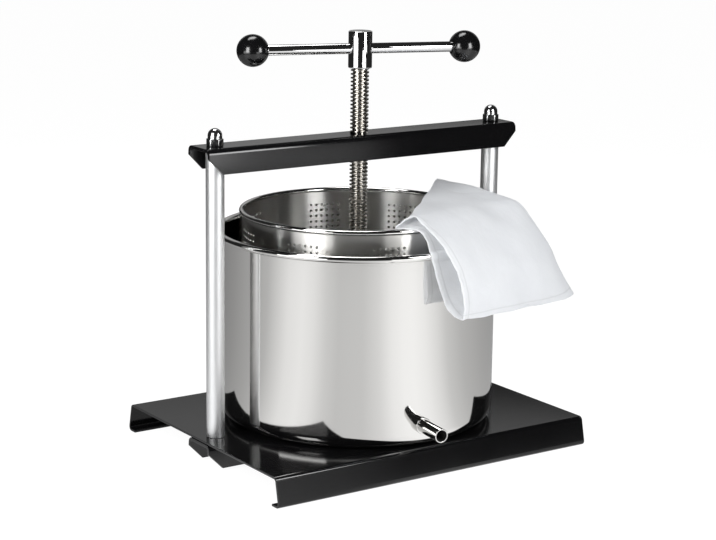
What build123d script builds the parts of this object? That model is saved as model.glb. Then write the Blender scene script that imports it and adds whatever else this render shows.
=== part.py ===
from build123d import *
import os
from math import cos, radians, sin, sqrt, tan

# Fruit press: a screw press in a two-post frame over a juice pot with a perforated basket.
# Frame of the part: +X along the beam from left post to right post, -Y to the front, +Z up.
# The origin is on the bench, on the axis of the screw.

# Clearances between pieces
hole_clearance = 0.25
slip_clearance = 0.05
soft_clearance = 0.3

# Basket of rolled perforated sheet
basket_diameter = 206.8
basket_wall_thickness = 0.8
basket_bead = 4.6
basket_bead_offset = 0.92
basket_bead_flat = 1.84
basket_rise = 17.6
strip_count = 120
hole_diameter = 2.3
hole_columns = 6
hole_rows = 10
row_step = 5.3
first_row_drop = 16.1
patch_step = 14
patches_per_run = 4
patch_runs = (39, 100)
drain_diameter = 4.4
drain_count = 24
drain_rise = 5.0
floor_raise = 8.0
floor_sheet = 1.0
floor_corner = 3.0

# Juice pot with its spout
juice_gap = 19.2
pot_height = 170.8
pot_wall = 1.0
pot_corner = 6.0
pot_bead = 6.0
spout_angle = -97.5
spout_height = 21.0
spout_reach = 37.4
spout_diameter = 12.0
spout_bore = 10.0
spout_root = 11.6
spout_inside = 2.0
spout_shoulder_gap = 0.4
collar_wall = 2.0
collar_length = 6.0
collar_taper = 2.0

# Base plate of folded sheet
base_depth = 250.0
base_height = 26.0
base_sheet = 2.0
base_splay = 5.6
base_lip = 12.0
base_bend = 4.0
base_end_margin = 16.4

# Channels: the beam over the basket and the stiffener under the base plate
beam_headroom = 64.4
beam_height = 21.7
channel_sheet = 3.0
channel_splay = 1.7
channel_bend = 5.0
channel_chamfer = 13.5
beam_end_margin = 15.9
stiffener_end_margin = 17.2
stiffener_floor_gap = 2.3

# Posts, tie rods and their nuts
post_gap = 11.5
post_diameter = 16.0
post_wall = 2.0
rod_diameter = 8.0
rod_tip = 2.0
nut_flats = 13.0
nut_height = 6.5
nut_chamfer = 0.8
dome_diameter = 12.4
dome_height = 8.7
dome_bore_depth = 5.2
washer_diameter = 16.0
washer_thickness = 1.6

# Screw and its fixed nut
thread_diameter = 16.2
thread_depth = 1.9
thread_pitch = 3.4
flank_angle = 15.0
thread_clearance = 0.25
ridge_seat = 0.02
facets_per_turn = 18
nut_wall = 4.9
spindle_nut_height = 17.0
nut_side_gap = 1.35
nut_edge = 2.2
beam_hole_clearance = 0.65

# Press head
press_height = 81.0
plate_gap = 5.6
plate_thickness = 4.0
plate_edge = 1.5
journal_diameter = 12.0
journal_clearance = 0.08
cup_wall = 10.0
cup_height = 24.0
cup_edge = 2.0
cup_thread_gap = 1.7
thrust_thickness = 2.5
thrust_clearance = 0.1
groove_depth = 1.5
groove_width = 5.4
groove_rise = 13.0
retainer_diameter = 5.0
retainer_socket = 2.5
retainer_socket_depth = 2.5

# Hub, bar and ball knobs
hub_rise = 57.7
hub_diameter = 21.0
hub_height = 32.6
hub_edge = 1.0
stub_depth = 11.5
pin_diameter = 3.0
pin_rise = 5.5
bar_diameter = 9.3
bar_rise = 17.1
bar_length = 194.2
handle_angle = -17.3
knob_diameter = 28.3

# Press bag laid over both rims at the front right
bag_mouth_x = -8.0
bag_middle_x = 45.0
bag_side_overhang = 2.1
bag_side_lean = 0.33
bag_side_turn = 0.14
bag_drop = 71.7
bag_tip_reach = 21.0
bag_tip_rise = 3.0
bag_tip_inner = 20.8
bag_tip_point = 6.8
bag_tip_outer = 3.2

# Sections of the bag. Each point gives the rim or hem that it is measured from, its reach to the front
# of that rim and its rise over it: two at the inner edge, ridge, shoulder, belly, bend over the hem,
# hem, then back along the lower layer to the pot rim and the basket rim.
bag_mouth_section = [
    ("basket", -21.6, 0.9),
    ("basket", -21.2, 4.0),
    ("basket", -13.8, 10.3),
    ("pot", 0.0, 13.2),
    ("hem", 31.1, 27.0),
    ("hem", 29.6, 11.7),
    ("hem", 22.1, 0.0),
    ("hem", 4.6, 22.0),
    ("pot", 3.6, 0.0),
    ("basket", 4.2, 0.0),
]
bag_middle_section = [
    ("basket", -63.7, 4.6),
    ("basket", -63.7, 5.8),
    ("basket", -8.1, 9.3),
    ("pot", 1.0, 12.9),
    ("hem", 28.0, 27.0),
    ("hem", 30.0, 11.7),
    ("hem", 29.0, 0.0),
    ("hem", 13.0, 20.0),
    ("pot", 7.0, 0.0),
    ("basket", 5.0, 0.0),
]
bag_side_section = [
    ("basket", -125.0, 12.5),
    ("basket", -125.0, 15.0),
    ("basket", -25.0, 8.5),
    ("pot", -28.0, 5.9),
    ("hem", -8.0, 12.2),
    ("hem", -3.4, 4.2),
    ("hem", 0.6, -3.6),
    ("hem", -11.0, 12.7),
    ("pot", -30.0, 0.0),
    ("basket", -28.0, 4.5),
]

# Radii and levels worked out from the sizes above
basket_radius = basket_diameter / 2
basket_inner = basket_radius - basket_wall_thickness
basket_bead_radius = basket_radius - basket_wall_thickness / 2 + basket_bead_offset
basket_rim_radius = basket_bead_radius + basket_bead / 2
pot_radius = basket_radius + juice_gap
pot_bead_radius = pot_radius - pot_wall / 2 + pot_bead / 2
pot_rim_radius = pot_bead_radius + pot_bead / 2
pot_floor = base_height + pot_wall
pot_top = base_height + pot_height
basket_top = pot_top + basket_rise
basket_bead_level = basket_top - basket_bead / 2
basket_wall_top = basket_bead_level - basket_bead_flat
basket_floor_top = pot_floor + floor_raise
post_x = pot_rim_radius + post_gap + post_diameter / 2
beam_web = basket_top + beam_headroom
beam_top = beam_web + channel_sheet
thread_radius = thread_diameter / 2
root_radius = thread_radius - thread_depth
flank_width = thread_depth * tan(radians(flank_angle))
crest_width = thread_pitch / 2 - flank_width
facet_turn = 360 / facets_per_turn
facet_rise = thread_pitch / facets_per_turn
ridge_foot = (root_radius + ridge_seat) / cos(radians(facet_turn / 2))
spindle_nut_diameter = thread_diameter + 2 * nut_wall
channel_width = spindle_nut_diameter + 2 * (channel_sheet + nut_side_gap)
stiffener_top = base_height - base_sheet
stiffener_web = stiffener_top - channel_sheet
stiffener_height = stiffener_top - stiffener_floor_gap
rod_bore = rod_diameter + 2 * hole_clearance
nut_bore = rod_diameter + 2 * slip_clearance
plate_bottom = basket_floor_top + press_height
plate_top = plate_bottom + plate_thickness
cup_top = plate_top + cup_height
cup_bore = journal_diameter + 2 * journal_clearance
thread_bottom = cup_top + cup_thread_gap
ridge_start = thread_bottom + crest_width / 2 + flank_width
hub_bottom = beam_top + hub_rise
bar_level = hub_bottom + bar_rise
pin_level = hub_bottom + pin_rise
bag_seat = basket_top + soft_clearance

spout_plane = Plane(
    origin=(0, 0, base_height + spout_height),
    z_dir=(cos(radians(spout_angle)), sin(radians(spout_angle)), 0),
)
handle_plane = Plane(
    origin=(0, 0, bar_level),
    z_dir=(cos(radians(handle_angle)), sin(radians(handle_angle)), 0),
)
pin_plane = Plane(
    origin=(0, 0, pin_level),
    z_dir=(-sin(radians(handle_angle)), cos(radians(handle_angle)), 0),
)


def draw_fold(points, bend, sheet):
    # Closed section of a bent sheet whose outer face follows the points
    with BuildLine() as outline:
        FilletPolyline(*points, radius=bend)
        offset(amount=sheet, side=Side.RIGHT)
    make_face(outline.edges())


def draw_channel(top, height):
    # Channel section, open downwards, flanges leaning out
    half = channel_width / 2
    foot = half + channel_splay
    bottom = top - height
    corners = [(-foot, bottom), (-half, top), (half, top), (foot, bottom)]
    draw_fold(corners, channel_bend, channel_sheet)


def cut_channel_ends(length, bottom):
    # Slanted cuts on the lower corners of both ends, through both flanges
    with BuildSketch(Plane.XZ) as corners:
        for side in (-1, 1):
            with BuildLine():
                Polyline(
                    (side * length / 2, bottom - channel_sheet),
                    (side * (length / 2 - channel_chamfer - channel_sheet), bottom - channel_sheet),
                    (side * length / 2, bottom + channel_chamfer),
                    close=True,
                )
            make_face()
    extrude(corners.sketch, amount=channel_width, both=True, mode=Mode.SUBTRACT)


def drill_post_holes(top, depth):
    # One hole for each tie rod
    with BuildSketch(Plane.XY.offset(top)) as holes:
        with GridLocations(2 * post_x, 1, 2, 1):
            Circle(rod_bore / 2)
    extrude(holes.sketch, amount=-depth, mode=Mode.SUBTRACT)


def wind_ridge(foot_radius, bottom, top, growth, mode):
    # Right-hand thread ridge between two levels, lofted in short facets through its sections,
    # which stand in planes of the axis
    half_crest = crest_width / 2 + growth
    half_foot = half_crest + flank_width
    crest_radius = thread_radius + growth
    sections = []
    for step in range(int((top - bottom) / facet_rise) + 1):
        angle = radians(step * facet_turn)
        plane = Plane(
            origin=(0, 0, bottom + step * facet_rise),
            x_dir=(cos(angle), sin(angle), 0),
            z_dir=(sin(angle), -cos(angle), 0),
        )
        with BuildSketch(plane) as section:
            with BuildLine():
                Polyline(
                    (foot_radius, -half_foot),
                    (crest_radius, -half_crest),
                    (crest_radius, half_crest),
                    (foot_radius, half_foot),
                    close=True,
                )
            make_face()
        sections.append(section.sketch.face())
    loft(sections, ruled=True, mode=mode)


def turned_hex(bottom, height, x):
    # Hexagon with its corners turned off at both faces
    corner = nut_flats / sqrt(3)
    with BuildSketch(Plane.XY.offset(bottom)) as hexagon:
        with Locations((x, 0)):
            RegularPolygon(nut_flats / 2, 6, major_radius=False)
    extrude(hexagon.sketch, amount=height)
    with BuildSketch(Plane.XZ) as turning:
        with BuildLine():
            Polyline(
                (x, bottom),
                (x + corner - nut_chamfer, bottom),
                (x + corner, bottom + nut_chamfer / 2),
                (x + corner, bottom + height - nut_chamfer / 2),
                (x + corner - nut_chamfer, bottom + height),
                (x, bottom + height),
                close=True,
            )
        make_face()
    revolve(turning.sketch, axis=Axis((x, 0, 0), (0, 0, 1)), mode=Mode.INTERSECT)


def rim_front(rim_radius, x):
    # How far to the front a round rim lies at a given x
    return sqrt(rim_radius**2 - x**2)


def draw_bag_section(section, basket_front, pot_front):
    # Outline of the hanging bag: upper layer over the front down to the hem, lower layer back
    rims = {
        "basket": (basket_front, 0),
        "pot": (pot_front, pot_top - bag_seat),
        "hem": (pot_front, -bag_drop),
    }
    points = [(rims[rim][0] + reach, rims[rim][1] + rise) for rim, reach, rise in section]
    low_edge, edge, ridge, shoulder, belly, hem_bend, hem, back, rim, seat = points
    with BuildLine() as outline:
        Line(low_edge, edge)
        Line(edge, ridge)
        ThreePointArc(ridge, shoulder, belly)
        ThreePointArc(belly, hem_bend, hem)
        Polyline(hem, back, rim, seat, low_edge)
    make_face(outline.edges())


os.makedirs("parts", exist_ok=True)

# Base plate: lips on the bench, leaning flanges at front and back, open ends
base_foot = base_depth / 2 + base_splay
with BuildPart() as base_plate:
    with BuildSketch(Plane.YZ):
        lip_points = [
            (-base_foot + base_lip, 0),
            (-base_foot, 0),
            (-base_depth / 2, base_height),
            (base_depth / 2, base_height),
            (base_foot, 0),
            (base_foot - base_lip, 0),
        ]
        draw_fold(lip_points, base_bend, base_sheet)
    extrude(amount=post_x + base_end_margin, both=True)
    drill_post_holes(base_height, base_sheet)
base_plate.part.label = "base_plate"
export_step(base_plate.part, "parts/base_plate.step")

# Stiffener channel under the base plate
stiffener_length = 2 * (post_x + stiffener_end_margin)
with BuildPart() as base_channel:
    with BuildSketch(Plane.YZ):
        draw_channel(stiffener_top, stiffener_height)
    extrude(amount=stiffener_length / 2, both=True)
    cut_channel_ends(stiffener_length, stiffener_floor_gap)
    drill_post_holes(stiffener_top, channel_sheet)
base_channel.part.label = "base_channel"
export_step(base_channel.part, "parts/base_channel.step")

# Beam over the basket, with the hole that the screw passes
beam_length = 2 * (post_x + beam_end_margin)
with BuildPart() as top_beam:
    with BuildSketch(Plane.YZ):
        draw_channel(beam_top, beam_height)
    extrude(amount=beam_length / 2, both=True)
    cut_channel_ends(beam_length, beam_top - beam_height)
    drill_post_holes(beam_top, channel_sheet)
    with BuildSketch(Plane.XY.offset(beam_top)):
        Circle(thread_radius + beam_hole_clearance)
    extrude(amount=-channel_sheet, mode=Mode.SUBTRACT)
top_beam.part.label = "top_beam"
export_step(top_beam.part, "parts/top_beam.step")

# Spacer tubes and the tie rods inside them
rod_bottom = stiffener_web - washer_thickness - nut_height - rod_tip
rod_top = beam_top + nut_height + dome_bore_depth - rod_tip
for side, x in (("left", -post_x), ("right", post_x)):
    with BuildPart() as post:
        with BuildSketch(Plane.XY.offset(base_height)):
            with Locations((x, 0)):
                Circle(post_diameter / 2)
                Circle(post_diameter / 2 - post_wall, mode=Mode.SUBTRACT)
        extrude(amount=beam_web - base_height)
    post.part.label = side + "_post"
    export_step(post.part, f"parts/{side}_post.step")

    with BuildPart() as tie_rod:
        with BuildSketch(Plane.XY.offset(rod_bottom)):
            with Locations((x, 0)):
                Circle(rod_diameter / 2)
        extrude(amount=rod_top - rod_bottom)
    tie_rod.part.label = side + "_tie_rod"
    export_step(tie_rod.part, f"parts/{side}_tie_rod.step")

# Domed nuts on the beam
dome_radius = dome_diameter / 2
dome_bottom = beam_top + nut_height
with BuildPart() as acorn_nuts:
    turned_hex(beam_top, nut_height, -post_x)
    with BuildSketch(Plane.XZ):
        with BuildLine():
            Polyline(
                (-post_x, dome_bottom + dome_height),
                (-post_x, dome_bottom),
                (-post_x + dome_radius, dome_bottom),
                (-post_x + dome_radius, dome_bottom + dome_height - dome_radius),
            )
            RadiusArc(
                (-post_x + dome_radius, dome_bottom + dome_height - dome_radius),
                (-post_x, dome_bottom + dome_height),
                -dome_radius,
            )
        make_face()
    revolve(axis=Axis((-post_x, 0, 0), (0, 0, 1)))
    with BuildSketch(Plane.XY.offset(beam_top)):
        with Locations((-post_x, 0)):
            Circle(nut_bore / 2)
    extrude(amount=nut_height + dome_bore_depth, mode=Mode.SUBTRACT)
    mirror(about=Plane.YZ)
acorn_nuts.part.label = "acorn_nuts"
export_step(acorn_nuts.part, "parts/acorn_nuts.step")

# Washers and nuts under the stiffener web
with BuildPart() as base_washers:
    with BuildSketch(Plane.XY.offset(stiffener_web)):
        with GridLocations(2 * post_x, 1, 2, 1):
            Circle(washer_diameter / 2)
            Circle(rod_bore / 2, mode=Mode.SUBTRACT)
    extrude(amount=-washer_thickness)
base_washers.part.label = "base_washers"
export_step(base_washers.part, "parts/base_washers.step")

base_nut_bottom = stiffener_web - washer_thickness - nut_height
with BuildPart() as base_nuts:
    turned_hex(base_nut_bottom, nut_height, -post_x)
    with BuildSketch(Plane.XY.offset(base_nut_bottom)):
        with Locations((-post_x, 0)):
            Circle(nut_bore / 2)
    extrude(amount=nut_height, mode=Mode.SUBTRACT)
    mirror(about=Plane.YZ)
base_nuts.part.label = "base_nuts"
export_step(base_nuts.part, "parts/base_nuts.step")

# Screw: core with a journal in the thrust cup and a stub in the hub, and the thread ridge wound on it
journal_bottom = plate_top + thrust_thickness + thrust_clearance
groove_bottom = plate_top + groove_rise - groove_width / 2
stub_radius = journal_diameter / 2
with BuildPart() as spindle:
    with BuildSketch(Plane.XY.offset(thread_bottom)):
        Circle(root_radius)
    extrude(amount=hub_bottom - thread_bottom)
    with BuildSketch(Plane.XY.offset(journal_bottom)):
        Circle(journal_diameter / 2)
    extrude(amount=thread_bottom - journal_bottom)
    with BuildSketch(Plane.XY.offset(groove_bottom)):
        Circle(journal_diameter)
        Circle(journal_diameter / 2 - groove_depth, mode=Mode.SUBTRACT)
    extrude(amount=groove_width, mode=Mode.SUBTRACT)
    with BuildSketch(Plane.XY.offset(hub_bottom)):
        Circle(stub_radius)
    extrude(amount=stub_depth)
    with BuildSketch(pin_plane):
        Circle(pin_diameter / 2 + slip_clearance)
    extrude(amount=hub_diameter, both=True, mode=Mode.SUBTRACT)
    wind_ridge(
        ridge_foot,
        ridge_start,
        hub_bottom - crest_width / 2 - flank_width,
        0,
        Mode.ADD,
    )
spindle.part.label = "spindle"
export_step(spindle.part, "parts/spindle.step")

# Nut under the beam web, bored and cut with the same ridge grown by its clearance
spindle_nut_bottom = beam_web - spindle_nut_height
turns_below_nut = int((spindle_nut_bottom - ridge_start) / thread_pitch) - 1
tap_bottom = ridge_start + turns_below_nut * thread_pitch
with BuildPart() as spindle_nut:
    with BuildSketch(Plane.XY.offset(spindle_nut_bottom)):
        Circle(spindle_nut_diameter / 2)
    extrude(amount=spindle_nut_height)
    chamfer(spindle_nut.edges().filter_by(GeomType.CIRCLE), nut_edge)
    with BuildSketch(Plane.XY.offset(spindle_nut_bottom)):
        Circle(root_radius + thread_clearance)
    extrude(amount=spindle_nut_height, mode=Mode.SUBTRACT)
    wind_ridge(root_radius, tap_bottom, beam_top, thread_clearance, Mode.SUBTRACT)
spindle_nut.part.label = "spindle_nut"
export_step(spindle_nut.part, "parts/spindle_nut.step")

# Hub on the screw's top, cross-bored for the bar and pinned to the stub
with BuildPart() as handle_hub:
    with BuildSketch(Plane.XY.offset(hub_bottom)):
        Circle(hub_diameter / 2)
    extrude(amount=hub_height)
    chamfer(handle_hub.edges().filter_by(GeomType.CIRCLE), hub_edge)
    with BuildSketch(Plane.XY.offset(hub_bottom)):
        Circle(stub_radius + slip_clearance)
    extrude(amount=stub_depth + slip_clearance, mode=Mode.SUBTRACT)
    with BuildSketch(handle_plane):
        Circle(bar_diameter / 2 + slip_clearance)
    extrude(amount=hub_diameter, both=True, mode=Mode.SUBTRACT)
    with BuildSketch(pin_plane):
        Circle(pin_diameter / 2 + slip_clearance)
    extrude(amount=hub_diameter, both=True, mode=Mode.SUBTRACT)
handle_hub.part.label = "handle_hub"
export_step(handle_hub.part, "parts/handle_hub.step")

with BuildPart() as hub_pin:
    with BuildSketch(pin_plane):
        Circle(pin_diameter / 2)
    extrude(amount=hub_diameter / 2, both=True)
hub_pin.part.label = "hub_pin"
export_step(hub_pin.part, "parts/hub_pin.step")

# Bar with a ball knob on each end
with BuildPart() as handle_bar:
    with BuildSketch(handle_plane):
        Circle(bar_diameter / 2)
    extrude(amount=bar_length / 2, both=True)
handle_bar.part.label = "handle_bar"
export_step(handle_bar.part, "parts/handle_bar.step")

for side, direction in (("left", -1), ("right", 1)):
    knob_plane = handle_plane.offset(direction * bar_length / 2)
    with BuildPart() as knob:
        with Locations(knob_plane):
            Sphere(knob_diameter / 2)
        with BuildSketch(knob_plane):
            Circle(bar_diameter / 2 + slip_clearance)
        extrude(amount=-direction * knob_diameter, mode=Mode.SUBTRACT)
    knob.part.label = side + "_knob"
    export_step(knob.part, f"parts/{side}_knob.step")

# Press plate, thrust cup, wear disc and the two screws that keep the journal in the cup
plate_radius = basket_inner - plate_gap
cup_radius = journal_diameter / 2 + cup_wall
retainer_level = plate_top + groove_rise
retainer_tip = journal_diameter / 2 - groove_depth + thrust_clearance
retainer_bore = retainer_diameter + 2 * slip_clearance
with BuildPart() as press_plate:
    with BuildSketch(Plane.XY.offset(plate_bottom)):
        Circle(plate_radius)
    extrude(amount=plate_thickness)
    fillet(press_plate.edges().filter_by(GeomType.CIRCLE), plate_edge)
press_plate.part.label = "press_plate"
export_step(press_plate.part, "parts/press_plate.step")

with BuildPart() as thrust_cup:
    with BuildSketch(Plane.XY.offset(plate_top)):
        Circle(cup_radius)
    extrude(amount=cup_height)
    chamfer(thrust_cup.edges().filter_by(GeomType.CIRCLE).sort_by(Axis.Z)[-1], cup_edge)
    with BuildSketch(Plane.XY.offset(plate_top)):
        Circle(cup_bore / 2)
    extrude(amount=cup_height, mode=Mode.SUBTRACT)
    with BuildSketch(Plane.YZ):
        with Locations((0, retainer_level)):
            Circle(retainer_bore / 2)
    extrude(amount=cup_radius, both=True, mode=Mode.SUBTRACT)
thrust_cup.part.label = "thrust_cup"
export_step(thrust_cup.part, "parts/thrust_cup.step")

with BuildPart() as thrust_washer:
    with BuildSketch(Plane.XY.offset(plate_top)):
        Circle(journal_diameter / 2)
    extrude(amount=thrust_thickness)
thrust_washer.part.label = "thrust_washer"
export_step(thrust_washer.part, "parts/thrust_washer.step")

with BuildPart() as retaining_screws:
    with BuildSketch(Plane.YZ.offset(retainer_tip)):
        with Locations((0, retainer_level)):
            Circle(retainer_diameter / 2)
    extrude(amount=cup_radius - retainer_tip - thrust_clearance)
    with BuildSketch(Plane.YZ.offset(cup_radius)):
        with Locations((0, retainer_level)):
            RegularPolygon(retainer_socket / 2, 6, major_radius=False)
    extrude(amount=-retainer_socket_depth, mode=Mode.SUBTRACT)
    mirror(about=Plane.YZ)
retaining_screws.part.label = "retaining_screws"
export_step(retaining_screws.part, "parts/retaining_screws.step")

# Juice pot: flat floor, rounded foot, rolled rim, and the hole for the spout
pot_bead_level = pot_top - pot_bead / 2
with BuildPart() as juice_pot:
    with BuildSketch(Plane.XZ):
        with BuildLine():
            FilletPolyline(
                (0, base_height),
                (pot_radius, base_height),
                (pot_radius, pot_bead_level),
                radius=pot_corner,
            )
            FilletPolyline(
                (0, pot_floor),
                (pot_radius - pot_wall, pot_floor),
                (pot_radius - pot_wall, pot_bead_level),
                radius=pot_corner - pot_wall,
            )
            Line((0, base_height), (0, pot_floor))
            Line((pot_radius - pot_wall, pot_bead_level), (pot_radius, pot_bead_level))
        make_face()
        with Locations((pot_bead_radius, pot_bead_level)):
            Circle(pot_bead / 2)
    revolve(axis=Axis.Z)
    with BuildSketch(spout_plane):
        Circle(spout_root / 2 + slip_clearance)
    extrude(amount=pot_radius + pot_wall, mode=Mode.SUBTRACT)
juice_pot.part.label = "juice_pot"
export_step(juice_pot.part, "parts/juice_pot.step")

# Spout tube, turned down at its root to pass through the pot wall, and its weld collar
spout_start = pot_radius - pot_wall - spout_inside
spout_end = pot_radius + spout_reach
spout_shoulder = pot_radius + collar_length + spout_shoulder_gap
with BuildPart() as spout_tube:
    with BuildSketch(spout_plane.offset(spout_start)):
        Circle(spout_root / 2)
    extrude(amount=spout_shoulder - spout_start)
    with BuildSketch(spout_plane.offset(spout_shoulder)):
        Circle(spout_diameter / 2)
    extrude(amount=spout_end - spout_shoulder)
    with BuildSketch(spout_plane.offset(spout_start)):
        Circle(spout_bore / 2)
    extrude(amount=spout_end - spout_start, mode=Mode.SUBTRACT)
spout_tube.part.label = "spout_tube"
export_step(spout_tube.part, "parts/spout_tube.step")

collar_radius = spout_diameter / 2 + collar_wall
with BuildPart() as spout_collar:
    with BuildSketch(spout_plane.offset(pot_radius - pot_wall)):
        Circle(collar_radius)
    extrude(amount=pot_wall + collar_length, taper=collar_taper)
    with BuildSketch(spout_plane):
        Circle(spout_root / 2 + slip_clearance)
    extrude(amount=2 * pot_radius, mode=Mode.SUBTRACT)
    with BuildSketch(Plane.XY.offset(base_height)):
        Circle(pot_radius + slip_clearance)
    extrude(amount=pot_height, mode=Mode.SUBTRACT)
spout_collar.part.label = "spout_collar"
export_step(spout_collar.part, "parts/spout_collar.step")

# Basket wall: rolled in flat strips, one column of holes to a strip, drain holes above the floor
strip_turn = 360 / strip_count
rows_middle = basket_top - first_row_drop - (hole_rows - 1) * row_step / 2
with BuildPart() as basket_wall:
    with BuildSketch(Plane.XY.offset(pot_floor)):
        RegularPolygon(basket_radius, strip_count, major_radius=False, rotation=strip_turn / 2)
        RegularPolygon(
            basket_inner,
            strip_count,
            major_radius=False,
            rotation=strip_turn / 2,
            mode=Mode.SUBTRACT,
        )
    extrude(amount=basket_wall_top - pot_floor)
    for run in patch_runs:
        for patch in range(patches_per_run):
            for column in range(hole_columns):
                angle = radians((run + patch * patch_step + column) * strip_turn)
                strip = Plane(
                    origin=(0, 0, rows_middle),
                    x_dir=(-sin(angle), cos(angle), 0),
                    z_dir=(cos(angle), sin(angle), 0),
                )
                with BuildSketch(strip.offset(basket_inner - basket_wall_thickness)):
                    with GridLocations(1, row_step, 1, hole_rows):
                        Circle(hole_diameter / 2)
    for drain in range(drain_count):
        angle = radians(drain * 360 / drain_count)
        strip = Plane(
            origin=(0, 0, basket_floor_top + drain_rise),
            z_dir=(cos(angle), sin(angle), 0),
        )
        with BuildSketch(strip.offset(basket_inner - basket_wall_thickness)):
            Circle(drain_diameter / 2)
    extrude(amount=3 * basket_wall_thickness, mode=Mode.SUBTRACT)
basket_wall.part.label = "basket_wall"
export_step(basket_wall.part, "parts/basket_wall.step")

# Basket floor: shallow pan turned over, its flange against the wall
floor_radius = basket_inner - slip_clearance
with BuildPart() as basket_floor:
    with BuildSketch(Plane.XZ):
        with BuildLine():
            FilletPolyline(
                (0, basket_floor_top),
                (floor_radius, basket_floor_top),
                (floor_radius, pot_floor),
                radius=floor_corner,
            )
            FilletPolyline(
                (0, basket_floor_top - floor_sheet),
                (floor_radius - floor_sheet, basket_floor_top - floor_sheet),
                (floor_radius - floor_sheet, pot_floor),
                radius=floor_corner - floor_sheet,
            )
            Line((0, basket_floor_top), (0, basket_floor_top - floor_sheet))
            Line((floor_radius, pot_floor), (floor_radius - floor_sheet, pot_floor))
        make_face()
    revolve(axis=Axis.Z)
basket_floor.part.label = "basket_floor"
export_step(basket_floor.part, "parts/basket_floor.step")

# Basket rim: rolled bead, flat where it sits on the wall
with BuildPart() as basket_rim:
    with BuildSketch(Plane.XZ):
        with Locations((basket_bead_radius, basket_bead_level)):
            Circle(basket_bead / 2)
        with Locations((basket_bead_radius, basket_wall_top)):
            Rectangle(
                2 * basket_bead,
                basket_bead,
                align=(Align.CENTER, Align.MAX),
                mode=Mode.SUBTRACT,
            )
    revolve(axis=Axis.Z)
basket_rim.part.label = "basket_rim"
export_step(basket_rim.part, "parts/basket_rim.step")

# Press bag: lofted from its open mouth at the left to the thin sewn edge at the right
mouth_pot = rim_front(pot_rim_radius, bag_mouth_x)
mouth_basket = rim_front(basket_rim_radius, bag_mouth_x)
middle_pot = rim_front(pot_rim_radius, bag_middle_x)
middle_basket = rim_front(basket_rim_radius, bag_middle_x)
side_normal = Vector(-1, -bag_side_turn, -bag_side_lean)
mouth_plane = Plane(origin=(bag_mouth_x, 0, bag_seat), x_dir=(0, -1, 0), z_dir=(-1, 0, 0))
middle_plane = Plane(origin=(bag_middle_x, 0, bag_seat), x_dir=(0, -1, 0), z_dir=(-1, 0, 0))
side_plane = Plane(
    origin=(basket_rim_radius + bag_side_overhang, 0, bag_seat),
    x_dir=(bag_side_turn, -1, 0),
    z_dir=side_normal,
)
with BuildPart() as filter_bag:
    with BuildSketch(mouth_plane):
        draw_bag_section(bag_mouth_section, mouth_basket, mouth_pot)
    with BuildSketch(middle_plane):
        draw_bag_section(bag_middle_section, middle_basket, middle_pot)
    with BuildSketch(side_plane):
        draw_bag_section(bag_side_section, basket_rim_radius, pot_rim_radius)
    loft(ruled=True)
    with BuildSketch(Plane.XY.offset(bag_seat)):
        with BuildLine():
            Polyline(
                (bag_mouth_x - bag_tip_reach, -mouth_basket + bag_tip_point),
                (bag_mouth_x, -mouth_basket + bag_tip_inner),
                (bag_mouth_x, -mouth_basket - bag_tip_outer),
                close=True,
            )
        make_face()
    extrude(amount=bag_tip_rise)
filter_bag.part.label = "filter_bag"
export_step(filter_bag.part, "parts/filter_bag.step")
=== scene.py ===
import bpy
import bmesh
from math import atan2, cos, pi, radians, sin, sqrt, tan
from mathutils import Matrix, Vector, kdtree, noise


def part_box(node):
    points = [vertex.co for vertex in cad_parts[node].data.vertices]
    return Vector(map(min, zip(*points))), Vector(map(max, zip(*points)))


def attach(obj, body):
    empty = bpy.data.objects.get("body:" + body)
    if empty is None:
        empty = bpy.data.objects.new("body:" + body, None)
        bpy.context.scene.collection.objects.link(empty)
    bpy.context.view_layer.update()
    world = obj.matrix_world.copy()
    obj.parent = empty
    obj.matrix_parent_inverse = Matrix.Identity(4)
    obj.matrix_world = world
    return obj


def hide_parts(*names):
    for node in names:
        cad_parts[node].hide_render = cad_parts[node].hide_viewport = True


# Fruit press: screw press in a two-post frame, juice pot, perforated basket and press bag.
# Sizes in the dictionaries are millimetres, places come from the frame.
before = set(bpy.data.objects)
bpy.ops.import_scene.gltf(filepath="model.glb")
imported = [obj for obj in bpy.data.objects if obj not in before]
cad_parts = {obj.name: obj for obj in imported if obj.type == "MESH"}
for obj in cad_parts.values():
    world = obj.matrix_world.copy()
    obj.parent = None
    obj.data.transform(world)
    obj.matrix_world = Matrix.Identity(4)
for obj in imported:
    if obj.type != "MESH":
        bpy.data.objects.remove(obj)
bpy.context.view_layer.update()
mm = 0.001
weld = 0.001 * mm    # points nearer than this are one point
bpy.context.scene.view_settings.view_transform = "Standard"


def srgb(hexText):
    # sRGB hex to linear colour
    channels = [int(hexText[i:i + 2], 16) / 255 for i in (1, 3, 5)]
    linear = [c / 12.92 if c <= 0.04045 else ((c + 0.055) / 1.055) ** 2.4 for c in channels]
    return (*linear, 1.0)


def addNode(tree, kind, settings=None, links=None):
    # settings are node attributes or input values, links join an input to another node's output
    node = tree.nodes.new(kind)
    for name, value in (settings or {}).items():
        if isinstance(name, str) and hasattr(node, name):
            setattr(node, name, value)
        else:
            node.inputs[name].default_value = value
    for name, socket in (links or {}).items():
        tree.links.new(socket, node.inputs[name])
    return node


def newMaterial(name):
    material = bpy.data.materials.new(name)
    material.use_nodes = True
    material.node_tree.nodes.clear()
    return material, material.node_tree


def closeMaterial(tree, settings, links):
    shader = addNode(tree, "ShaderNodeBsdfPrincipled", settings, links)
    addNode(tree, "ShaderNodeOutputMaterial", links={"Surface": shader.outputs["BSDF"]})


def perMetre(size):
    # texture scale for a feature of this size in millimetres
    return 1 / (size * mm)


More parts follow.
